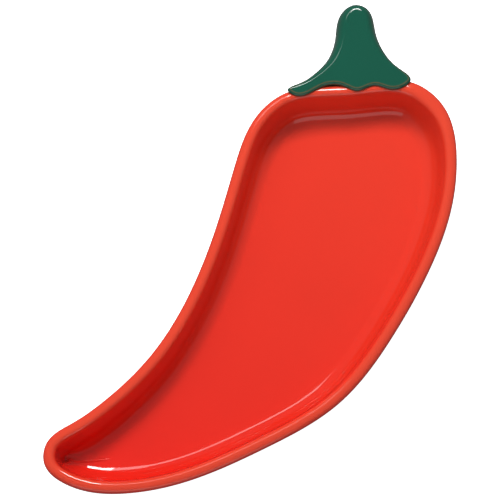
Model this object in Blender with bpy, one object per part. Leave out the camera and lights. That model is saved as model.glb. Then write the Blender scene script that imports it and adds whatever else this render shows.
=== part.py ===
"""A small serving dish in the shape of a chilli pepper: a shallow glazed tray, with a green stem and cap on it.

The dish rests on its foot ring on the plane z = 0. +Y runs along its length from tail to stem, and +X is to the
right seen from above. Sizes are in metres, and the origin ends up under the middle of the whole dish.
"""

from math import cos, pi, radians, sin

import bmesh
import bpy
import numpy as np

# Driving dimensions of the tray's wall, measured in from its widest outline or up from the table.
RIM_WIDTH = 0.005
RIM_TOP = 0.024
WALL_LEAN = radians(12)
FILLET = 0.008
FLOOR_TOP = 0.0065
CLAY = 0.0045
FOOT_OUTSIDE = 0.0132
FOOT_INSIDE = 0.0162
FOOT_CHAMFER = 0.0004

# The rim grows broader towards one place beside the cap.
SHOULDER = (0.006, 0.101)
SHOULDER_EXTRA = 0.0018
SHOULDER_REACH = 0.020

# The cap: its relief above the rim, and the gap that keeps it a solid of its own.
CAP_TOP = 0.0255
CAP_STEP_WIDTH = 0.0013
CAP_TUCK = 0.0075
STEM_MIDDLE = 0.0175
STEM_BOTTOM = 0.0095
TIP_LIFT = 0.008
STEM_ROUND = 0.0075
GAP = 0.0003

# Points round each outline, closer together where it turns tightly.
DISH_POINTS = 104
CAP_POINTS = 84
TURN_WEIGHT = 0.014

# Widest outline of the tray from above, in millimetres, clockwise from the right end of the cap.
TRAY_OUTLINE = [
    (-2, 102.2), (14, 100.5), (31, 84), (41.5, 62), (47.5, 34), (49.5, 3), (46, -32), (30.5, -64.5),
    (10.5, -94), (-7, -110.5), (-28.5, -120), (-40.5, -118), (-44.6, -110.5), (-40.3, -97.5), (-35.2, -84.5),
    (-29.5, -58), (-30.5, -27), (-38.5, 8.5), (-45.5, 31), (-49.5, 53), (-45, 68.5), (-24, 86.6),
]

# The same for the cap and stem, each point with the share of the stem's full roundness that its edge has:
# 1 round the stem, and 0 along the cap's lobes, whose edge is a crisp step on the rim.
CAP_OUTLINE = [
    (-44.3, 69.6, 0), (-42.4, 74.6, 0.2), (-39.3, 82.8, 0.6), (-38.4, 92, 1), (-41.2, 102.6, 1), (-44.8, 112, 1),
    (-42.2, 119, 1), (-36, 120.6, 1), (-28, 114, 1), (-20, 107.6, 0.7), (-10.3, 104.1, 0.3), (-3, 101.6, 0),
    (-3.9, 97.6, 0), (-8.7, 93.2, 0), (-14.6, 91.2, 0), (-19.4, 85.3, 0), (-26, 83.8, 0),
    (-32, 79.9, 0), (-36.3, 72.4, 0), (-40.5, 69.2, 0),
]


def closed_spline(anchors, count):
    """Points of a smooth closed curve through the anchors. Columns past x and y are carried along with them."""
    a = np.array(anchors, float)
    after = np.roll(a, -1, axis=0)
    step = np.linalg.norm((after - a)[:, :2], axis=1)
    size = len(a)
    rows = np.zeros((size, size))
    right = np.zeros_like(a)
    for i in range(size):
        back, ahead = step[i - 1], step[i]
        rows[i, i - 1] += 1 / back
        rows[i, i] += 2 / back + 2 / ahead
        rows[i, (i + 1) % size] += 1 / ahead
        right[i] = 3 * ((a[i] - a[i - 1]) / back**2 + (after[i] - a[i]) / ahead**2)
    slope = np.linalg.solve(rows, right)
    knots = np.concatenate([[0], np.cumsum(step)])
    s = np.linspace(0, knots[-1], count, endpoint=False)
    i = np.searchsorted(knots, s, side="right") - 1
    span = step[i][:, None]
    u = (s - knots[i])[:, None] / span
    return (
        (2 * u**3 - 3 * u**2 + 1) * a[i]
        + (u**3 - 2 * u**2 + u) * span * slope[i]
        + (3 * u**2 - 2 * u**3) * after[i]
        + (u**3 - u**2) * span * slope[(i + 1) % size]
    )


def inward_normals(points):
    """Unit normals of a clockwise closed outline, pointing into it."""
    along = np.roll(points, -1, axis=0) - np.roll(points, 1, axis=0)
    normals = np.stack([along[:, 1], -along[:, 0]], axis=1)
    return normals / np.linalg.norm(normals, axis=1)[:, None]


def even_outline(anchors, count):
    """The closed curve through the anchors with its points set closer together where it turns more."""
    fine = closed_spline(anchors, 4000)
    fine[:, :2] /= 1000
    normals = inward_normals(fine[:, :2])
    length = np.linalg.norm(np.roll(fine, -1, axis=0)[:, :2] - fine[:, :2], axis=1)
    turn = np.linalg.norm(np.roll(normals, -1, axis=0) - normals, axis=1)
    measure = np.concatenate([[0], np.cumsum(length + TURN_WEIGHT * turn)])
    wanted = np.linspace(0, measure[-1], count, endpoint=False)
    closed = np.concatenate([fine, fine[:1]])
    return np.stack([np.interp(wanted, measure, closed[:, k]) for k in range(closed.shape[1])], axis=1)


class Outline:
    """A closed outline seen from above that can be drawn again further in."""

    def __init__(self, points, keep):
        """keep is the share of the way to the outline's middle line that a ring may reach."""
        self.points = points
        self.normals = inward_normals(points)
        away = points[None, :, :] - points[:, None, :]
        ahead = np.einsum("ijk,ik->ij", away, self.normals)
        circle = np.where(ahead > 1e-9, (away**2).sum(axis=2) / np.maximum(2 * ahead, 1e-12), 1.0)
        self.reach = keep * self.smooth(circle.min(axis=1))

    def smooth(self, values):
        for _ in range(10):
            values = (np.roll(values, 1) + 2 * values + np.roll(values, -1)) / 4
        return values

    def inset(self, distance, deepest=None):
        """The outline moved in by a distance. Where it is narrow, the rings slow down before they can cross;
        with deepest given, all the distances up to that one shrink there by the same share."""
        deepest = distance if deepest is None else deepest
        share = (1 + (np.abs(deepest) / self.reach) ** 6) ** (-1 / 6)
        return self.points + self.normals * (distance * share)[:, None]


def arc(centre, radius, start, end, steps):
    """Points of an arc in the section, where angle 0 points inwards and 90 degrees up."""
    angles = [start + (end - start) * k / steps for k in range(steps + 1)]
    return [(centre[0] + radius * cos(t), centre[1] + radius * sin(t)) for t in angles]


def tray_section():
    """The wall's section as (inset, height) points: under the dish, from the foot out to the rim, and inside it."""
    rim_radius = RIM_WIDTH / 2
    rim_centre = (rim_radius, RIM_TOP - rim_radius)
    wall_drop = rim_centre[1] - (FLOOR_TOP + FILLET)
    bend = (rim_radius + FILLET) / cos(WALL_LEAN) + rim_centre[0] + wall_drop * np.tan(WALL_LEAN)
    fillet_centre = (bend, FLOOR_TOP + FILLET)
    outer_centre = (bend, FLOOR_TOP + FILLET + RIM_WIDTH - CLAY)
    outer_radius = FILLET + RIM_WIDTH
    base = FLOOR_TOP - CLAY
    foot_start = -pi / 2 - np.arcsin((bend - FOOT_OUTSIDE + FOOT_CHAMFER) / outer_radius)
    under = [
        (FOOT_INSIDE + FOOT_CHAMFER, base),
        (FOOT_INSIDE, FOOT_CHAMFER),
        (FOOT_INSIDE - FOOT_CHAMFER, 0),
        (FOOT_OUTSIDE + FOOT_CHAMFER, 0),
        (FOOT_OUTSIDE, FOOT_CHAMFER),
    ]
    under += arc(outer_centre, outer_radius, foot_start, WALL_LEAN - pi, 5)
    over = arc(rim_centre, rim_radius, WALL_LEAN + pi, WALL_LEAN, 6)
    over += arc(fillet_centre, FILLET, WALL_LEAN - pi, -pi / 2, 5)
    return under, over


def loft(name, rings):
    """A closed solid through rings of matching points, with its two ends filled flat."""
    bm = bmesh.new()
    rows = [[bm.verts.new(point) for point in ring] for ring in rings]
    for low, high in zip(rows, rows[1:]):
        for k in range(len(low)):
            n = (k + 1) % len(low)
            bm.faces.new((low[k], low[n], high[n], high[k]))
    bm.faces.new(rows[0])
    bm.faces.new(rows[-1])
    bmesh.ops.recalc_face_normals(bm, faces=bm.faces)
    mesh = bpy.data.meshes.new(name)
    bm.to_mesh(mesh)
    bm.free()
    return bpy.data.objects.new(name, mesh)


def ring_at(outline_points, height):
    heights = np.broadcast_to(height, len(outline_points))
    return np.column_stack([outline_points, heights]).tolist()


def make_dish():
    """The tray: one pressed piece of clay with a rounded rim, leaning walls, a flat floor and a foot ring."""
    outline = Outline(even_outline(TRAY_OUTLINE, DISH_POINTS), keep=0.85)
    from_shoulder = np.linalg.norm(outline.points - np.array(SHOULDER), axis=1)
    broader = SHOULDER_EXTRA * np.exp(-((from_shoulder / SHOULDER_REACH) ** 2))
    under, over = tray_section()
    deepest = under[0][0]
    rings = [ring_at(outline.inset(inset, deepest), height) for inset, height in under]
    for inset, height in over:
        grown = inset + broader * min(inset / RIM_WIDTH, 1)
        rings.append(ring_at(outline.inset(grown), height))
    return loft("dish", rings)


def make_cap():
    """The stem and its lobed cap as one rounded block, which the dish is then cut out of. Below its widest level
    the block tucks in towards the tray's wall, and it ends higher towards the tips of the cap."""
    drawn = even_outline(CAP_OUTLINE, CAP_POINTS)
    outline = Outline(drawn[:, :2], keep=0.58)
    roundness = np.clip(drawn[:, 2], 0, 1)
    edge = CAP_STEP_WIDTH + (STEM_ROUND - CAP_STEP_WIDTH) * roundness
    shoulder = CAP_TOP - CAP_STEP_WIDTH
    widest = shoulder + (STEM_MIDDLE - shoulder) * roundness
    left, right = (np.array(tip[:2]) / 1000 for tip in (CAP_OUTLINE[0], CAP_OUTLINE[11]))
    across = (right - left) / 2
    rings = []
    for step in range(-4, 5):
        angle = step / 4 * pi / 2
        width, rise = (edge, CAP_TOP - widest) if step > 0 else (CAP_TUCK, widest - STEM_BOTTOM)
        ring = outline.inset(width * (1 - cos(angle)), CAP_TUCK)
        height = widest + rise * sin(angle)
        towards_tip = np.clip(np.abs((ring - (left + right) / 2) @ across) / (across @ across) * 1.5 - 0.5, 0, 1)
        lift = TIP_LIFT * towards_tip**2 * (3 - 2 * towards_tip)
        height += lift * (CAP_TOP - height) / (CAP_TOP - STEM_BOTTOM)
        rings.append(ring_at(ring, height))
    return loft("stem_cap", rings)


def cut_clear(piece, other, cutters):
    """Cuts the other solid, swollen by the gap, out of the piece."""
    cutter = bpy.data.objects.new(other.name + "_cutter", other.data.copy())
    cutter.hide_render = True
    cutter.display_type = "WIRE"
    cutters.objects.link(cutter)
    swell = cutter.modifiers.new("gap", "DISPLACE")
    swell.direction = "NORMAL"
    swell.mid_level = 0
    swell.strength = GAP
    cut = piece.modifiers.new("seat_on_rim", "BOOLEAN")
    cut.operation = "DIFFERENCE"
    cut.solver = "EXACT"
    cut.object = cutter


def glaze(name, colour):
    material = bpy.data.materials.new(name)
    material.use_nodes = True
    shader = material.node_tree.nodes["Principled BSDF"]
    shader.inputs["Base Color"].default_value = (*colour, 1)
    shader.inputs["Metallic"].default_value = 0
    shader.inputs["Roughness"].default_value = 0.1
    material.diffuse_color = (*colour, 1)
    return material


def centre_on_origin(pieces):
    """Moves the meshes together, so that the middle of their common box is over the origin."""
    points = np.array([vertex.co for piece in pieces for vertex in piece.data.vertices])
    middle = (points.min(axis=0) + points.max(axis=0)) / 2
    for piece in pieces:
        for vertex in piece.data.vertices:
            vertex.co.x -= middle[0]
            vertex.co.y -= middle[1]


def main():
    for existing in list(bpy.data.objects):
        bpy.data.objects.remove(existing, do_unlink=True)
    parts = bpy.data.collections.new("chilli_dish")
    cutters = bpy.data.collections.new("cutters")
    bpy.context.scene.collection.children.link(parts)
    bpy.context.scene.collection.children.link(cutters)

    dish = make_dish()
    cap = make_cap()
    centre_on_origin([dish, cap])
    dish.data.materials.append(glaze("red_glaze", (0.78, 0.035, 0.018)))
    cap.data.materials.append(glaze("green_glaze", (0.012, 0.1, 0.06)))
    for piece in (dish, cap):
        piece.data.shade_smooth()
        piece.data.set_sharp_from_angle(angle=radians(40))
        parts.objects.link(piece)
    cut_clear(cap, dish, cutters)


main()
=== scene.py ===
# %% [markdown]
# # A chilli-shaped dish in glazed ceramic
#
# The object is a shallow serving dish, made in one piece of pale earthenware. It is shaped like a chilli
# pepper: a red tray with a rounded rim, and a green stem with a lobed cap that stands a little proud of the
# rim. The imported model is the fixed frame. It says where everything is, and each piece below is made to its
# sizes.

from math import cos, pi, radians, sin, tan

import bmesh
import bpy
import numpy as np
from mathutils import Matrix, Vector


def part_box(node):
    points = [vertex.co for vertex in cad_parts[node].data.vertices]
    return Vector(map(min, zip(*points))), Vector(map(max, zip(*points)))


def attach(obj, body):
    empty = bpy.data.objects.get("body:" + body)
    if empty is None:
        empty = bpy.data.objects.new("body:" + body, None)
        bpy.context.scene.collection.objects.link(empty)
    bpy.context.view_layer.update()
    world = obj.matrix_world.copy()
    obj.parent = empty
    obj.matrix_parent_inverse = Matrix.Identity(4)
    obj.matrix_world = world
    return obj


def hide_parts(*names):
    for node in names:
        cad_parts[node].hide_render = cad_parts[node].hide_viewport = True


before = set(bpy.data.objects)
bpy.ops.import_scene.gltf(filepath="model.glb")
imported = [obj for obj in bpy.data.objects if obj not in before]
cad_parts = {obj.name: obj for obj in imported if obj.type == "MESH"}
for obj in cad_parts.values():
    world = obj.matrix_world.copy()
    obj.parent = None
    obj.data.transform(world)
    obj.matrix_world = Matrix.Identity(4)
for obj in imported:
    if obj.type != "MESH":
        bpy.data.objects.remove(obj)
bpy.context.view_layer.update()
dish_low, dish_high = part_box("dish")
cap_low, cap_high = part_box("stem_cap")

# %% [markdown]
# ## The camera
#
# A camera far away with a long lens keeps the outline almost free of perspective, which suits a flat dish
# seen from nearly overhead. The camera is placed by an azimuth and an elevation about a point on the table.

# %% Camera
AIM = Vector((-0.0213, 0.00485, 0.012))
AZIMUTH, ELEVATION, DISTANCE = radians(33), radians(74), 0.95
FRAME_ACROSS = 0.2095

towards_camera = Vector((
    sin(AZIMUTH) * cos(ELEVATION),
    -cos(AZIMUTH) * cos(ELEVATION),
    sin(ELEVATION),
))
camera = bpy.data.objects.new("camera", bpy.data.cameras.new("camera"))
camera.data.sensor_width = 36
camera.data.lens = camera.data.sensor_width * DISTANCE / FRAME_ACROSS
camera.location = AIM + towards_camera * DISTANCE
camera.rotation_euler = towards_camera.to_track_quat("Z", "Y").to_euler()
bpy.context.scene.collection.objects.link(camera)
bpy.context.scene.camera = camera
print("lens, mm:", round(camera.data.lens, 1))

# %% [markdown]
# ## The studio
#
# A glossy glaze shows its lights as reflections, so the lights are split by what they are for, as in a
# product studio. The key, high behind the dish, leaves the walls under the rim in shade, and the left panel
# opens up the right wall. These two only shade the glaze. Sparkle and sheen, lower behind the stem, are
# only seen as reflections, and draw the bright lines on the rim and the floor. The front panel does both:
# it keeps the shade from going black and gives the near edges some gloss. A dim, even room fills in the
# rest.
#
# A light is placed by its direction round the dish, counted the way the camera's azimuth is, and by its
# height.

# %% Lights
CENTRE = Vector((0, 0, 0.012))
BEHIND = 213


def direction(azimuth, elevation):
    """The unit vector from the dish towards that azimuth and elevation, in degrees."""
    a, e = radians(azimuth), radians(elevation)
    return Vector((sin(a) * cos(e), -cos(a) * cos(e), sin(e)))


def softbox(name, azimuth, elevation, distance, width, height, radiance, shades=True, reflects=True):
    """A rectangular light at that direction and distance from the dish, facing it, its width kept level."""
    data = bpy.data.lights.new(name, "AREA")
    data.shape = "RECTANGLE"
    data.size, data.size_y = width, height
    data.energy = radiance * pi * width * height
    light = bpy.data.objects.new(name, data)
    light.location = CENTRE + direction(azimuth, elevation) * distance
    light.rotation_euler = direction(azimuth, elevation).to_track_quat("Z", "Y").to_euler()
    light.visible_diffuse, light.visible_glossy = shades, reflects
    bpy.context.scene.collection.objects.link(light)
    print(name, "power:", round(data.energy, 2))


softbox("key", BEHIND + 8, 57, 1.2, 0.50, 0.32, radiance=23.5, reflects=False)
softbox("left_panel", BEHIND + 80, 55, 1.4, 1.2, 1.0, radiance=1.1, reflects=False)
softbox("front_panel", BEHIND - 180, 20, 1.3, 1.6, 0.8, radiance=0.7)
softbox("sparkle", BEHIND - 4, 50, 1.2, 0.30, 0.26, radiance=26, shades=False)
softbox("sheen", BEHIND + 18, 49, 1.2, 0.34, 0.20, radiance=4, shades=False)

world = bpy.data.worlds.new("studio")
world.use_nodes = True
world.node_tree.nodes["Background"].inputs["Color"].default_value = (1, 1, 1, 1)
world.node_tree.nodes["Background"].inputs["Strength"].default_value = 0.20
bpy.context.scene.world = world
bpy.context.scene.view_settings.view_transform = "Standard"

# %% [markdown]
# The table is white paper, lit so brightly that it shows no shadow. It is seen by the camera only, so it
# neither lights the dish from below nor shows in the glaze.

# %% Table
bpy.ops.mesh.primitive_plane_add(size=6, location=(0, 0, -0.0002))
table = bpy.context.active_object
table.name = "table"
paper = bpy.data.materials.new("white_paper")
paper.use_nodes = True
paper_shader = paper.node_tree.nodes["Principled BSDF"]
paper_shader.inputs["Base Color"].default_value = (0.9, 0.9, 0.9, 1)
paper_shader.inputs["Roughness"].default_value = 0.9
paper_shader.inputs["Emission Color"].default_value = (1, 1, 1, 1)
paper_shader.inputs["Emission Strength"].default_value = 1.0
table.data.materials.append(paper)
table.visible_diffuse = table.visible_glossy = False

# %% [markdown]
# ## Outlines
#
# Both pieces start from an outline seen from above. A few anchor points say where it goes, and a closed
# cubic spline through them gives a curve whose bend changes smoothly, which a glossy rim needs. The walls
# are then drawn by moving that outline inwards. An outline can't move in further than its own middle line,
# so each point also gets its reach: the radius of the largest circle that touches the outline there from
# inside.

# %% Outline helpers
FINE_POINTS = 4000


def closed_spline(anchors, count):
    """Points of a smooth closed curve through the anchors. Columns past x and y are carried along."""
    a = np.array(anchors, float)
    after = np.roll(a, -1, axis=0)
    step = np.linalg.norm((after - a)[:, :2], axis=1)
    size = len(a)
    rows = np.zeros((size, size))
    right = np.zeros_like(a)
    for i in range(size):
        back, ahead = step[i - 1], step[i]
        rows[i, i - 1] += 1 / back
        rows[i, i] += 2 / back + 2 / ahead
        rows[i, (i + 1) % size] += 1 / ahead
        right[i] = 3 * ((a[i] - a[i - 1]) / back**2 + (after[i] - a[i]) / ahead**2)
    slope = np.linalg.solve(rows, right)
    knots = np.concatenate([[0], np.cumsum(step)])
    s = np.linspace(0, knots[-1], count, endpoint=False)
    i = np.searchsorted(knots, s, side="right") - 1
    span = step[i][:, None]
    u = (s - knots[i])[:, None] / span
    return (
        (2 * u**3 - 3 * u**2 + 1) * a[i]
        + (u**3 - 2 * u**2 + u) * span * slope[i]
        + (3 * u**2 - 2 * u**3) * after[i]
        + (u**3 - u**2) * span * slope[(i + 1) % size]
    )


def inward_normals(points):
    """Unit normals of a clockwise closed outline, pointing into it."""
    along = np.roll(points, -1, axis=0) - np.roll(points, 1, axis=0)
    normals = np.stack([along[:, 1], -along[:, 0]], axis=1)
    return normals / np.linalg.norm(normals, axis=1)[:, None]


def even_outline(anchors, count, turn_weight=0.014):
    """The closed curve through the anchors, in metres, its points closer together where it turns more."""
    fine = closed_spline(anchors, FINE_POINTS)
    fine[:, :2] /= 1000
    normals = inward_normals(fine[:, :2])
    length = np.linalg.norm(np.roll(fine, -1, axis=0)[:, :2] - fine[:, :2], axis=1)
    turn = np.linalg.norm(np.roll(normals, -1, axis=0) - normals, axis=1)
    measure = np.concatenate([[0], np.cumsum(length + turn_weight * turn)])
    wanted = np.linspace(0, measure[-1], count, endpoint=False)
    closed = np.concatenate([fine, fine[:1]])
    return np.stack([np.interp(wanted, measure, closed[:, k]) for k in range(closed.shape[1])], axis=1)


def fitted(points, low, high):
    """The outline stretched by a hair, so that it spans the frame's box exactly."""
    low, high = np.array(low[:2]), np.array(high[:2])
    start, end = points.min(axis=0), points.max(axis=0)
    return low + (points - start) * (high - low) / (end - start)


def reach_of(points, normals, rounds):
    """How far in each point of an outline can move before it meets the outline's middle line."""
    away = points[None, :, :] - points[:, None, :]
    ahead = np.einsum("ijk,ik->ij", away, normals)
    circle = np.where(ahead > 1e-9, (away**2).sum(axis=2) / np.maximum(2 * ahead, 1e-12), 1.0)
    reach = circle.min(axis=1)
    for _ in range(rounds):
        reach = (np.roll(reach, 1) + 2 * reach + np.roll(reach, -1)) / 4
    return reach


# %% [markdown]
# The tray's outline has 22 anchors, in millimetres, clockwise from the right end of the cap. The frame's
# own box then says exactly where it lies.

# %% The tray's outline
TRAY_ANCHORS = [
    (-2, 102.2), (14, 100.5), (31, 84), (41.5, 62), (47.5, 34), (49.5, 3), (46, -32), (30.5, -64.5),
    (10.5, -94), (-7, -110.5), (-28.5, -120), (-40.5, -118), (-44.6, -110.5), (-40.3, -97.5),
    (-35.2, -84.5), (-29.5, -58), (-30.5, -27), (-38.5, 8.5), (-45.5, 31), (-49.5, 53), (-45, 68.5),
    (-24, 86.6),
]
TRAY_POINTS = 480

tray_drawn = even_outline(TRAY_ANCHORS, TRAY_POINTS)
tray_outline = fitted(tray_drawn, dish_low, dish_high)
tray_inward = inward_normals(tray_outline)
tray_reach = reach_of(tray_outline, tray_inward, rounds=4)
print("moved onto the frame by at most, mm:", round(np.abs(tray_outline - tray_drawn).max() * 1000, 2))
print("narrowest reach, mm:", round(tray_reach.min() * 1000, 1))

# %% [markdown]
# ## The wall's section
#
# Everything about the tray's depth is in one section: the foot ring it stands on, the outer wall, the
# rounded rim, the leaning inner wall, the fillet at its foot and the floor. Each point is an inset and a
# height. Two more values go with it. One is how pale the glaze is painted there: paler where glaze runs
# off a convex edge, and on the rim's top also a painted reflection of the bright room. The other is
# whether the clay is bare, as it is where the foot ring was wiped clean before firing.

# %% The tray's section
RIM_WIDTH = 0.005
RIM_TOP = dish_high.z
WALL_LEAN = radians(12)
FILLET = 0.008
FLOOR_TOP = 0.0065
CLAY = 0.0045
FOOT_OUTSIDE, FOOT_INSIDE = 0.0132, 0.0162
FOOT_ROUND = 0.0005
FOOT_FILLET = 0.0007
BASE_FLAT = 0.0015
DEEPEST_UNDER = FOOT_INSIDE + 0.004
FLOOR_STEP, FLOOR_STEPS = 0.002, 19

RIM_RADIUS = RIM_WIDTH / 2
RIM_POWER = 2.3
CREST_LIMIT = 1.08
BARE_HEIGHT = FOOT_ROUND * 0.6
rim_centre = (RIM_RADIUS, RIM_TOP - RIM_RADIUS)
fillet_inset = (RIM_RADIUS + FILLET) / cos(WALL_LEAN) + RIM_RADIUS
fillet_inset += (rim_centre[1] - FLOOR_TOP - FILLET) * tan(WALL_LEAN)
fillet_centre = (fillet_inset, FLOOR_TOP + FILLET)
outer_centre = (fillet_inset, FLOOR_TOP + FILLET + RIM_WIDTH - CLAY)
OUTER_RADIUS = FILLET + RIM_WIDTH


def arc(centre, radius, start, end, steps):
    """Points of an arc in the section, where angle 0 points inwards and 90 degrees up."""
    angles = np.linspace(start, end, steps + 1)
    return [(centre[0] + radius * cos(t), centre[1] + radius * sin(t)) for t in angles]


def straight(start, end, steps):
    """Points on a line, without its two ends."""
    start, end = np.array(start), np.array(end)
    return [tuple(start + (end - start) * k / steps) for k in range(1, steps)]


def rim_point(turn):
    """A point of the rim, a circle pushed a little towards a square, so that its crest is flatter."""
    across, up = abs(cos(turn - WALL_LEAN)), abs(sin(turn - WALL_LEAN))
    radius = RIM_RADIUS * (across**RIM_POWER + up**RIM_POWER) ** (-1 / RIM_POWER)
    return rim_centre[0] + radius * cos(turn), rim_centre[1] + radius * sin(turn)


BASE = FLOOR_TOP - CLAY
foot_start = -pi / 2 - np.arcsin((fillet_inset - FOOT_OUTSIDE + FOOT_ROUND) / OUTER_RADIUS)
under = [(DEEPEST_UNDER, BASE), (FOOT_INSIDE + BASE_FLAT, BASE)]
under += arc((FOOT_INSIDE + FOOT_FILLET, BASE - FOOT_FILLET), FOOT_FILLET, pi / 2, pi, 4)
under += arc((FOOT_INSIDE - FOOT_ROUND, FOOT_ROUND), FOOT_ROUND, 0, -pi / 2, 4)
under += arc((FOOT_OUTSIDE + FOOT_ROUND, FOOT_ROUND), FOOT_ROUND, -pi / 2, -pi, 4)
under += arc(outer_centre, OUTER_RADIUS, foot_start, WALL_LEAN - pi, 16)
over = [rim_point(turn) for turn in np.linspace(WALL_LEAN + pi, WALL_LEAN, 19)]
wall_foot = arc(fillet_centre, FILLET, WALL_LEAN - pi, -pi / 2, 16)
over += straight(over[-1], wall_foot[0], 6) + wall_foot
over += [(fillet_inset + step * FLOOR_STEP, FLOOR_TOP) for step in range(1, FLOOR_STEPS + 1)]
section = np.array(under + over)
is_over = np.arange(len(section)) >= len(under)

crest = np.hypot(section[:, 0] - rim_centre[0], section[:, 1] - rim_centre[1])
on_rim = is_over & (crest < RIM_RADIUS * CREST_LIMIT)
# The rim's top is painted paler: partly glaze run thin over the crest, partly a painted reflection of the
# bright room.
thin_glaze_and_sheen = np.where(on_rim, np.clip((section[:, 1] - rim_centre[1]) / RIM_RADIUS, 0, 1), 0)
bare_clay = (section[:, 1] < BARE_HEIGHT).astype(float)
print("section points:", len(section), "floor starts at inset, mm:", round(fillet_inset * 1000, 2))

# %% [markdown]
# ## Sweeping the section round the outline
#
# The outline and the section become two small helper meshes, whose points carry the values above as
# attributes. A Geometry Nodes tree sweeps one round the other. It makes a grid with a row for each section
# point and a column for each outline point, and puts every grid point at its outline point, moved in by the
# section's inset and up by its height. Nodes suit this, because the wall's rule is one formula for every
# point.
#
# Where the dish narrows into its tail there isn't room for the full section. Insets there slow down as they
# near the middle line, and the floor rises in a soft valley, as the inside of a pressed dish does. The
# valley's left side is the steeper one. By the right end of the cap the inner wall lies a little further
# in, which leaves a broader shoulder there.

# %% Helper meshes
def point_mesh(name, points, attributes):
    """A mesh of loose points, hidden from the render, with float or vector attributes on them."""
    mesh = bpy.data.meshes.new(name)
    mesh.from_pydata([tuple(p) for p in points], [], [])
    for key, values in attributes.items():
        values = np.asarray(values, np.float32)
        is_vector = values.ndim == 2
        layer = mesh.attributes.new(key, "FLOAT_VECTOR" if is_vector else "FLOAT", "POINT")
        layer.data.foreach_set("vector" if is_vector else "value", values.ravel())
    helper = bpy.data.objects.new(name, mesh)
    helper.hide_render = True
    bpy.context.scene.collection.objects.link(helper)
    return helper


flat = np.zeros((TRAY_POINTS, 1))
outline_points = point_mesh("outline_points", np.hstack([tray_outline, flat]), {
    "inward": np.hstack([tray_inward, flat]),
    "reach": tray_reach,
})
section_places = np.column_stack([section[:, 0], np.zeros(len(section)), section[:, 1]])
section_points = point_mesh("section_points", section_places, {
    "over": is_over.astype(float),
    "thin": thin_glaze_and_sheen,
    "bare": bare_clay,
})

# %% Node helpers
class Tree:
    """Adds nodes to a node tree in short lines."""

    def __init__(self, tree):
        self.tree = tree

    def socket(self, name, kind, is_output=False, value=None):
        """A new input or output of the whole tree."""
        side = "OUTPUT" if is_output else "INPUT"
        made = self.tree.interface.new_socket(name, in_out=side, socket_type=kind)
        if value is not None:
            made.default_value = value
        return made.identifier

    def add(self, kind, inputs=None, **settings):
        """A new node. Each input, by name or place, gets a link if it is given a socket, or else a value."""
        node = self.tree.nodes.new(kind)
        for key, value in settings.items():
            setattr(node, key, value)
        for key, value in (inputs or {}).items():
            self.put(node.inputs[key], value)
        return node

    def put(self, socket, value):
        if isinstance(value, bpy.types.NodeSocket):
            self.tree.links.new(value, socket)
        else:
            socket.default_value = value

    def maths(self, operation, *values):
        return self.add("ShaderNodeMath", dict(enumerate(values)), operation=operation).outputs[0]

    def vectors(self, operation, *values):
        return self.add("ShaderNodeVectorMath", dict(enumerate(values)), operation=operation).outputs

    def blend(self, share, first, second):
        """A mix of two colours. The node has an A and a B of every kind, so the colours are found by kind."""
        node = self.add("ShaderNodeMix", {"Factor": share}, data_type="RGBA")
        ends = [socket for socket in node.inputs if socket.type == "RGBA"]
        self.put(ends[0], first)
        self.put(ends[1], second)
        return next(socket for socket in node.outputs if socket.type == "RGBA")


# %% The sweep tree
SHOULDER = (0.006, 0.101, 0)
STEEP_TOWARDS = (0.93, -0.36, 0)
RING_POWER = 8
UNDER_KEEP, UNDER_POWER = 0.85, 6
WELD = 1e-6

sweep = Tree(bpy.data.node_groups.new("sweep_section", "GeometryNodeTree"))
sweep.socket("Geometry", "NodeSocketGeometry", is_output=True)
SWEEP_INPUTS = {
    "Outline": ("NodeSocketObject", outline_points),
    "Section": ("NodeSocketObject", section_points),
    "Ring Keep": ("NodeSocketFloat", 0.96),
    "Steep Side": ("NodeSocketFloat", 0.55),
    "Fillet Inset": ("NodeSocketFloat", fillet_inset),
    "Fillet Radius": ("NodeSocketFloat", FILLET),
    "Floor Height": ("NodeSocketFloat", FLOOR_TOP),
    "Deepest Under": ("NodeSocketFloat", DEEPEST_UNDER),
    "Rim Width": ("NodeSocketFloat", RIM_WIDTH),
    "Shoulder Extra": ("NodeSocketFloat", 0.0018),
    "Shoulder Reach": ("NodeSocketFloat", 0.020),
    "Glaze": ("NodeSocketMaterial", None),
    "Bare Clay": ("NodeSocketMaterial", None),
}
sweep_ids = {name: sweep.socket(name, kind) for name, (kind, _) in SWEEP_INPUTS.items()}
given = sweep.add("NodeGroupInput").outputs

outline_geometry = sweep.add("GeometryNodeObjectInfo", {"Object": given["Outline"]}).outputs["Geometry"]
section_geometry = sweep.add("GeometryNodeObjectInfo", {"Object": given["Section"]}).outputs["Geometry"]
columns = sweep.add("GeometryNodeAttributeDomainSize", {"Geometry": outline_geometry}).outputs["Point Count"]
rows = sweep.add("GeometryNodeAttributeDomainSize", {"Geometry": section_geometry}).outputs["Point Count"]
grid_height = sweep.maths("ADD", columns, 1)
grid = sweep.add("GeometryNodeMeshGrid", {"Vertices X": rows, "Vertices Y": grid_height}).outputs["Mesh"]
index = sweep.add("GeometryNodeInputIndex").outputs[0]
row = sweep.maths("FLOOR", sweep.maths("DIVIDE", index, grid_height))
column = sweep.maths("MODULO", sweep.maths("MODULO", index, grid_height), columns)


def named(name, kind="FLOAT"):
    """The named attribute of whichever geometry reads it."""
    return sweep.add("GeometryNodeInputNamedAttribute", {"Name": name}, data_type=kind).outputs["Attribute"]


def sampled(geometry, at, name=None, kind="FLOAT"):
    """The value of a named attribute, or the position, of the helper point with that index."""
    if name is None:
        field = sweep.add("GeometryNodeInputPosition").outputs[0]
    else:
        field = named(name, kind)
    inputs = {"Geometry": geometry, "Value": field, "Index": at}
    return sweep.add("GeometryNodeSampleIndex", inputs, data_type=kind, domain="POINT").outputs["Value"]


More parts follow.
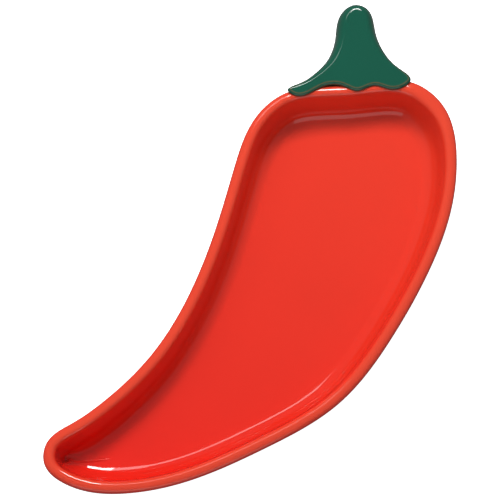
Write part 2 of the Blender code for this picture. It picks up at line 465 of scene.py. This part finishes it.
def slowed(distance, keep, power, full=None):
    """The distance, slowed down as the full distance nears its share of the reach."""
    full = distance if full is None else full
    crowded = sweep.maths("POWER", sweep.maths("DIVIDE", full, sweep.maths("MULTIPLY", keep, reach)), power)
    share = sweep.maths("POWER", sweep.maths("ADD", 1, crowded), -1 / power)
    return sweep.maths("MULTIPLY", distance, share)


place = sampled(outline_geometry, column, kind="FLOAT_VECTOR")
inward = sampled(outline_geometry, column, "inward", "FLOAT_VECTOR")
reach = sampled(outline_geometry, column, "reach")
profile = sweep.add("ShaderNodeSeparateXYZ", {0: sampled(section_geometry, row, kind="FLOAT_VECTOR")}).outputs
over_rim = sampled(section_geometry, row, "over")

from_shoulder = sweep.vectors("DISTANCE", place, SHOULDER)["Value"]
nearness = sweep.maths("DIVIDE", from_shoulder, given["Shoulder Reach"])
bulge = sweep.maths("EXPONENT", sweep.maths("MULTIPLY", sweep.maths("MULTIPLY", nearness, nearness), -1))
ramp = sweep.maths("MINIMUM", sweep.maths("DIVIDE", profile["X"], given["Rim Width"]), 1)
broader = sweep.maths("MULTIPLY", sweep.maths("MULTIPLY", bulge, given["Shoulder Extra"]), ramp)
over_inset = sweep.maths("ADD", profile["X"], broader)

upper = slowed(over_inset, given["Ring Keep"], RING_POWER)
lower = slowed(profile["X"], UNDER_KEEP, UNDER_POWER, full=given["Deepest Under"])
inset = sweep.add("ShaderNodeMix", {"Factor": over_rim, "A": lower, "B": upper}).outputs["Result"]

crossed = sweep.maths("DIVIDE", upper, reach)
faces_steep = sweep.vectors("DOT_PRODUCT", inward, STEEP_TOWARDS)["Value"]
steep = sweep.maths("MULTIPLY", sweep.maths("MAXIMUM", faces_steep, 0), given["Steep Side"])
quicker = sweep.maths("ADD", 1, sweep.maths("MULTIPLY", steep, sweep.maths("MULTIPLY", crossed, crossed)))
bent = sweep.maths("MINIMUM", sweep.maths("MULTIPLY", crossed, quicker), 1)
flatter = sweep.maths("SUBTRACT", 1, sweep.maths("DIVIDE", sweep.maths("POWER", bent, 4), 5))
valley = sweep.maths("MULTIPLY", reach, sweep.maths("MULTIPLY", bent, flatter))
short_of_floor = sweep.maths("SUBTRACT", sweep.maths("ADD", given["Fillet Inset"], broader), valley)
short_of_floor = sweep.maths("MAXIMUM", short_of_floor, 0)
fillet_span = sweep.maths("MULTIPLY", given["Fillet Radius"], cos(WALL_LEAN))
short_of_floor = sweep.maths("MINIMUM", short_of_floor, fillet_span)
fillet_squared = sweep.maths("POWER", given["Fillet Radius"], 2)
drop = sweep.maths("SUBTRACT", fillet_squared, sweep.maths("POWER", short_of_floor, 2))
valley_height = sweep.maths("ADD", given["Floor Height"], given["Fillet Radius"])
valley_height = sweep.maths("SUBTRACT", valley_height, sweep.maths("SQRT", drop))
past_wall = sweep.maths("GREATER_THAN", profile["X"], wall_foot[0][0] - WELD)
in_valley = sweep.maths("MULTIPLY", over_rim, past_wall)
height = sweep.add("ShaderNodeMix", {"Factor": in_valley, "A": profile["Z"], "B": valley_height})

moved_in = sweep.add("ShaderNodeVectorMath", {0: inward, "Scale": inset}, operation="SCALE").outputs[0]
raised = sweep.add("ShaderNodeCombineXYZ", {"Z": height.outputs["Result"]}).outputs[0]
spot = sweep.vectors("ADD", sweep.vectors("ADD", place, moved_in)[0], raised)[0]
shell = sweep.add("GeometryNodeSetPosition", {"Geometry": grid, "Position": spot}).outputs[0]
# The thin share rides on the mesh: paler glaze over edges, and on the rim's top a painted reflection as well.
for mask in ("thin", "bare"):
    inputs = {"Geometry": shell, "Name": mask, "Value": sampled(section_geometry, row, mask)}
    shell = sweep.add("GeometryNodeStoreNamedAttribute", inputs, data_type="FLOAT").outputs[0]
shell = sweep.add("GeometryNodeMergeByDistance", {"Geometry": shell, "Distance": WELD}).outputs[0]
shell = sweep.add("GeometryNodeSetMaterial", {"Geometry": shell, "Material": given["Glaze"]}).outputs[0]
clay_faces = sweep.maths("GREATER_THAN", named("bare"), 0.9)
inputs = {"Geometry": shell, "Material": given["Bare Clay"], "Selection": clay_faces}
shell = sweep.add("GeometryNodeSetMaterial", inputs).outputs[0]
shell = sweep.add("GeometryNodeRealizeInstances", {"Geometry": shell}).outputs[0]
sweep.add("NodeGroupOutput", {"Geometry": shell})
print("sweep tree nodes:", len(sweep.tree.nodes))

# %% [markdown]
# ## Glaze
#
# A fired glaze is coloured glass over pale clay. Three things tell it from painted plastic: its colour
# pales where it has run thin over an edge, it carries a faint unevenness that bends reflections, and it is
# glossy all over. The unevenness and the thinning are shared by both colours, so they are one shader node
# group. On the rim's top the paler colour is also a painted reflection of the bright room. The red is also
# painted a little more orange from the tail towards the stem: painted light, brighter where the lamps are
# nearer.

# %% Shared glaze effects
GLOSS, GLOSS_SPREAD = 0.03, 0.03
GRAIN_HEIGHT = 0.000002
# Where along the dish the painted light falloff runs, from the tail to the stem.
PAINTED_LIGHT_FROM, PAINTED_LIGHT_TO = -0.10, 0.08

glaze_fx = Tree(bpy.data.node_groups.new("glaze_effects", "ShaderNodeTree"))
# The thin colour is paler glaze where it runs over an edge; on the red rim's top it is also a painted
# reflection.
for name, kind, value in (
    ("Colour", "NodeSocketColor", (0.8, 0.04, 0.02, 1)),
    ("Thin And Sheen Colour", "NodeSocketColor", (0.9, 0.1, 0.05, 1)),
    ("Thin", "NodeSocketFloat", 0.0),
    ("Mottle", "NodeSocketFloat", 0.06),
    ("Ripple Height", "NodeSocketFloat", 0.00006),
):
    glaze_fx.socket(name, kind, value=value)
for name, kind in (
    ("Colour", "NodeSocketColor"),
    ("Roughness", "NodeSocketFloat"),
    ("Normal", "NodeSocketVector"),
):
    glaze_fx.socket(name, kind, is_output=True)
given = glaze_fx.add("NodeGroupInput").outputs
where = glaze_fx.add("ShaderNodeTexCoord").outputs["Object"]
broad = glaze_fx.add("ShaderNodeTexNoise", {"Vector": where, "Scale": 28.0, "Detail": 2.0}).outputs["Fac"]
fine = glaze_fx.add("ShaderNodeTexNoise", {"Vector": where, "Scale": 420.0, "Detail": 2.0}).outputs["Fac"]
# Paler where the thin share is high: thin glaze, and on the rim's top a painted reflection too.
tone = glaze_fx.blend(given["Thin"], given["Colour"], given["Thin And Sheen Colour"])
uneven = glaze_fx.maths("MULTIPLY", glaze_fx.maths("SUBTRACT", broad, 0.5), given["Mottle"])
lightness = glaze_fx.maths("ADD", 1, uneven)
tone = glaze_fx.add("ShaderNodeHueSaturation", {"Color": tone, "Value": lightness}).outputs["Color"]
gloss = glaze_fx.maths("ADD", GLOSS, glaze_fx.maths("MULTIPLY", fine, GLOSS_SPREAD))
inputs = {"Height": broad, "Distance": given["Ripple Height"], "Strength": 1.0}
waves = glaze_fx.add("ShaderNodeBump", inputs).outputs["Normal"]
inputs = {"Height": fine, "Distance": GRAIN_HEIGHT, "Strength": 0.5, "Normal": waves}
grain = glaze_fx.add("ShaderNodeBump", inputs).outputs["Normal"]
glaze_fx.add("NodeGroupOutput", {"Colour": tone, "Roughness": gloss, "Normal": grain})


def glaze_material(name, colour, thin_and_sheen_colour, mottle, shaded_tail_colour=None):
    """A glossy glaze over clay: the shared effects feed one Principled shader. Its colour can turn slowly
    into a deeper tail colour along the dish: painted light, paler towards the stem where the lamps are
    nearer."""
    material = bpy.data.materials.new(name)
    material.use_nodes = True
    nodes = Tree(material.node_tree)
    tone = (*colour, 1)
    # Painted light: the red is painted paler orange towards the stem, where the lamps are nearer, and deeper
    # red towards the tail.
    if shaded_tail_colour:
        place = nodes.add("ShaderNodeTexCoord").outputs["Object"]
        along = nodes.add("ShaderNodeSeparateXYZ", {0: place}).outputs["Y"]
        inputs = {"Value": along, "From Min": PAINTED_LIGHT_FROM, "From Max": PAINTED_LIGHT_TO}
        share = nodes.add("ShaderNodeMapRange", inputs).outputs["Result"]
        tone = nodes.blend(share, (*shaded_tail_colour, 1), tone)
    # The thin share is paler glaze run over an edge, and on the rim's top a painted reflection as well.
    thin = nodes.add("ShaderNodeAttribute", attribute_name="thin").outputs["Fac"]
    inputs = {"Colour": tone, "Thin And Sheen Colour": (*thin_and_sheen_colour, 1), "Thin": thin, "Mottle": mottle}
    effects = nodes.add("ShaderNodeGroup", inputs, node_tree=glaze_fx.tree).outputs
    shader = material.node_tree.nodes["Principled BSDF"]
    for key, value in (
        ("Base Color", effects["Colour"]),
        ("Roughness", effects["Roughness"]),
        ("Normal", effects["Normal"]),
        ("IOR", 1.5),
        ("Coat Weight", 0.3),
        ("Coat Roughness", 0.03),
    ):
        nodes.put(shader.inputs[key], value)
    return material


# The red's thin colour on the rim's top is partly thin glaze and partly a painted reflection; its tail colour
# is painted light falling off towards the tail.
red_glaze = glaze_material(
    "red_glaze", (0.79, 0.042, 0.019), (0.80, 0.062, 0.028), 0.06, shaded_tail_colour=(0.79, 0.020, 0.011)
)
green_glaze = glaze_material("green_glaze", (0.003, 0.088, 0.053), (0.12, 0.09, 0.04), 0.12)

# %% [markdown]
# The foot ring is bare earthenware: a dry, off-white clay with a fine grit, which shows only from below.

# %% Bare clay
bare_material = bpy.data.materials.new("bare_clay")
bare_material.use_nodes = True
clay = Tree(bare_material.node_tree)
clay_where = clay.add("ShaderNodeTexCoord").outputs["Object"]
grit = clay.add("ShaderNodeTexNoise", {"Vector": clay_where, "Scale": 900}).outputs["Fac"]
clay_tone = clay.add("ShaderNodeValToRGB", {"Fac": grit})
clay_tone.color_ramp.elements[0].color = (0.62, 0.54, 0.43, 1)
clay_tone.color_ramp.elements[1].color = (0.80, 0.74, 0.64, 1)
clay_bump = clay.add("ShaderNodeBump", {"Height": grit, "Distance": 0.0001}).outputs["Normal"]
clay_shader = clay.tree.nodes["Principled BSDF"]
clay.put(clay_shader.inputs["Base Color"], clay_tone.outputs["Color"])
clay.put(clay_shader.inputs["Roughness"], 0.85)
clay.put(clay_shader.inputs["Normal"], clay_bump)

# %% [markdown]
# ## The tray
#
# The tree runs on an empty mesh, and its result becomes a plain mesh. The two ends of the sweep, which are
# the middle of the floor and the middle of the base, are filled with thin triangles along the middle line
# of the chilli. Then a few rounds of smoothing soften the foot of the inner wall.

# %% Make the tray
LOOKS_UP = 0.05
SPONGE_ROUNDS = 12
SPONGE_LOW, SPONGE_HIGH = FLOOR_TOP + 0.0002, 0.0135


def close_and_smooth(mesh, rounds=0, soft_low=0.0, soft_high=0.0):
    """Fills the open ends of a swept mesh and turns its faces outwards. Rounds of smoothing can soften what
    looks up between two heights, as a wet sponge does."""
    bm = bmesh.new()
    bm.from_mesh(mesh)
    bmesh.ops.remove_doubles(bm, verts=bm.verts, dist=WELD)
    filled = bmesh.ops.holes_fill(bm, edges=[e for e in bm.edges if e.is_boundary], sides=0)["faces"]
    bmesh.ops.triangulate(bm, faces=filled, ngon_method="EAR_CLIP")
    bmesh.ops.recalc_face_normals(bm, faces=bm.faces)
    for _ in range(rounds):
        bm.normal_update()
        soft = [v for v in bm.verts if soft_low < v.co.z < soft_high and v.normal.z > LOOKS_UP]
        bmesh.ops.smooth_vert(bm, verts=soft, factor=0.5, use_axis_x=True, use_axis_y=True, use_axis_z=True)
    bm.to_mesh(mesh)
    closed = all(e.is_manifold for e in bm.edges)
    bm.free()
    mesh.shade_smooth()
    return closed


tray_start = bpy.data.objects.new("tray_start", bpy.data.meshes.new("tray_start"))
bpy.context.scene.collection.objects.link(tray_start)
swept = tray_start.modifiers.new("sweep", "NODES")
swept.node_group = sweep.tree
for name, (_, value) in SWEEP_INPUTS.items():
    if value is not None:
        swept[sweep_ids[name]] = value
swept[sweep_ids["Glaze"]] = red_glaze
swept[sweep_ids["Bare Clay"]] = bare_material
bpy.context.view_layer.update()
depsgraph = bpy.context.evaluated_depsgraph_get()
tray_mesh = bpy.data.meshes.new_from_object(tray_start.evaluated_get(depsgraph))
tray_mesh.name = "glazed_tray"
tray_mesh.materials.pop(index=0)  # the grid brings an empty slot, which comes first
tray_closed = close_and_smooth(tray_mesh, SPONGE_ROUNDS, SPONGE_LOW, SPONGE_HIGH)
tray = bpy.data.objects.new("glazed_tray", tray_mesh)
bpy.context.scene.collection.objects.link(tray)
for helper in (tray_start, outline_points, section_points):
    bpy.data.objects.remove(helper)
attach(tray, "root")
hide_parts("dish")
print("tray faces:", len(tray_mesh.polygons), "closed:", tray_closed)
print("tray materials:", [material.name for material in tray_mesh.materials])

# %% [markdown]
# ## The stem and its cap
#
# The cap lies over the rim like a cloth with a scalloped edge, and runs out into a thick round stem. It is
# one rounded block, made by moving its own outline in while it rises, as the tray's wall does. How round
# the edge is changes along the outline: fully round along the stem, and a crisp step along the lobes. The
# underside is tucked in below the edge, and lifts towards the two outer tips. The cap is sunk into the rim,
# as both are one piece of clay.

# %% The cap's outline
CAP_ANCHORS = [
    (-44.3, 69.6, 0), (-42.4, 74.6, 0.2), (-39.3, 82.8, 0.6), (-38.4, 92, 1), (-41.2, 102.6, 1),
    (-44.8, 112, 1), (-42.2, 119, 1), (-36, 120.6, 1), (-28, 114, 1), (-20, 107.6, 0.7), (-10.3, 104.1, 0.3),
    (-3, 101.6, 0), (-3.9, 97.6, 0), (-8.7, 93.2, 0), (-14.6, 91.2, 0), (-19.4, 85.3, 0), (-26, 83.8, 0),
    (-32, 79.9, 0), (-36.3, 72.4, 0), (-40.5, 69.2, 0),
]
LEFT_TIP, RIGHT_TIP = 0, 11
CAP_POINTS = 420
STEP_WIDTH = 0.0013
STEM_ROUND = 0.0042
STEM_MIDDLE = 0.0176
STEM_BOTTOM = cap_low.z
CAP_TOP = cap_high.z
CAP_TUCK = 0.0075
TIP_LIFT = 0.008
EDGE_SHARE = 0.75
UNDER_RINGS, EDGE_RINGS, TOP_RINGS = 12, 16, 16
TOP_STEP = 0.004
TUCK_KEEP, TUCK_POWER = 0.7, 6
TOP_KEEP, TOP_POWER = 0.92, 8
THIN_AT, THIN_WIDTH = 0.8 * STEP_WIDTH, 0.0002

cap_drawn = even_outline(CAP_ANCHORS, CAP_POINTS, turn_weight=0.004)
cap_outline = fitted(cap_drawn[:, :2], cap_low, cap_high)
roundness = np.clip(cap_drawn[:, 2], 0, 1)
cap_inward = inward_normals(cap_outline)
cap_reach = reach_of(cap_outline, cap_inward, rounds=8)
left_tip, right_tip = (np.array(CAP_ANCHORS[k][:2]) / 1000 for k in (LEFT_TIP, RIGHT_TIP))


# %% Make the cap
def cap_ring(distance, keep, power):
    """The cap's outline moved in by a distance, slowed down near its middle line, and how far in it went."""
    slowed_by = (1 + (distance / (keep * cap_reach)) ** power) ** (-1 / power)
    return cap_outline + cap_inward * (distance * slowed_by)[:, None], distance * slowed_by


def cap_rings():
    """Rings of the block from the middle of its underside, out to its widest level and in over its top, and
    how thin the glaze lies on each: thin where it runs off the lobes' step."""
    edge = np.minimum(STEP_WIDTH + (STEM_ROUND - STEP_WIDTH) * roundness, EDGE_SHARE * cap_reach)
    step_level = CAP_TOP - STEP_WIDTH
    widest = step_level + (STEM_MIDDLE - step_level) * roundness
    across = (right_tip - left_tip) / 2
    middle = (right_tip + left_tip) / 2
    rings, thin = [], []
    for turn in np.linspace(-1, 0, UNDER_RINGS + 1)[:-1]:
        angle = turn * pi / 2
        ring, _ = cap_ring(CAP_TUCK * (1 - cos(angle)) * np.ones(CAP_POINTS), TUCK_KEEP, TUCK_POWER)
        height = widest + (widest - STEM_BOTTOM) * sin(angle)
        to_tip = np.clip(np.abs((ring - middle) @ across) / (across @ across) * 1.5 - 0.5, 0, 1)
        height += TIP_LIFT * to_tip**2 * (3 - 2 * to_tip) * (CAP_TOP - height) / (CAP_TOP - STEM_BOTTOM)
        rings.append(np.column_stack([ring, height]))
        thin.append(np.zeros(CAP_POINTS))
    for share in np.concatenate([np.linspace(0, 1, EDGE_RINGS + 1), np.linspace(1.1, 3, TOP_RINGS)]):
        distance = edge * (1 - cos(share * pi / 2)) if share <= 1 else edge + (share - 1) * TOP_STEP
        ring, actual = cap_ring(distance, TOP_KEEP, TOP_POWER)
        done = np.clip(actual / edge, 0, 1)
        height = widest + (CAP_TOP - widest) * (1 - (1 - done) ** 2) ** 0.5
        rings.append(np.column_stack([ring, height]))
        thin.append(np.exp(-(((actual - THIN_AT) / THIN_WIDTH) ** 2)) * (1 - roundness) ** 2)
    return rings, thin


rings, cap_thin = cap_rings()
cap_mesh = bpy.data.meshes.new("green_stem_cap")
ring_faces = [
    (start + k, start + after, start + CAP_POINTS + after, start + CAP_POINTS + k)
    for start in range(0, (len(rings) - 1) * CAP_POINTS, CAP_POINTS)
    for k, after in zip(range(CAP_POINTS), [*range(1, CAP_POINTS), 0])
]
cap_mesh.from_pydata(np.concatenate(rings).tolist(), [], ring_faces)
thin_layer = cap_mesh.attributes.new("thin", "FLOAT", "POINT")
thin_layer.data.foreach_set("value", np.concatenate(cap_thin).astype(np.float32))
cap_closed = close_and_smooth(cap_mesh)
cap_mesh.materials.append(green_glaze)
cap = bpy.data.objects.new("green_stem_cap", cap_mesh)
bpy.context.scene.collection.objects.link(cap)
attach(cap, "root")
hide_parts("stem_cap")
cap_spots = np.array([vertex.co for vertex in cap_mesh.vertices]) * 1000
print("cap box, mm:", [end(cap_spots, axis=0).round(2).tolist() for end in (np.min, np.max)])
print("cap frame box, mm:", [round(v * 1000, 2) for v in (*cap_low, *cap_high)])
print("cap faces:", len(cap_mesh.polygons), "closed:", cap_closed)
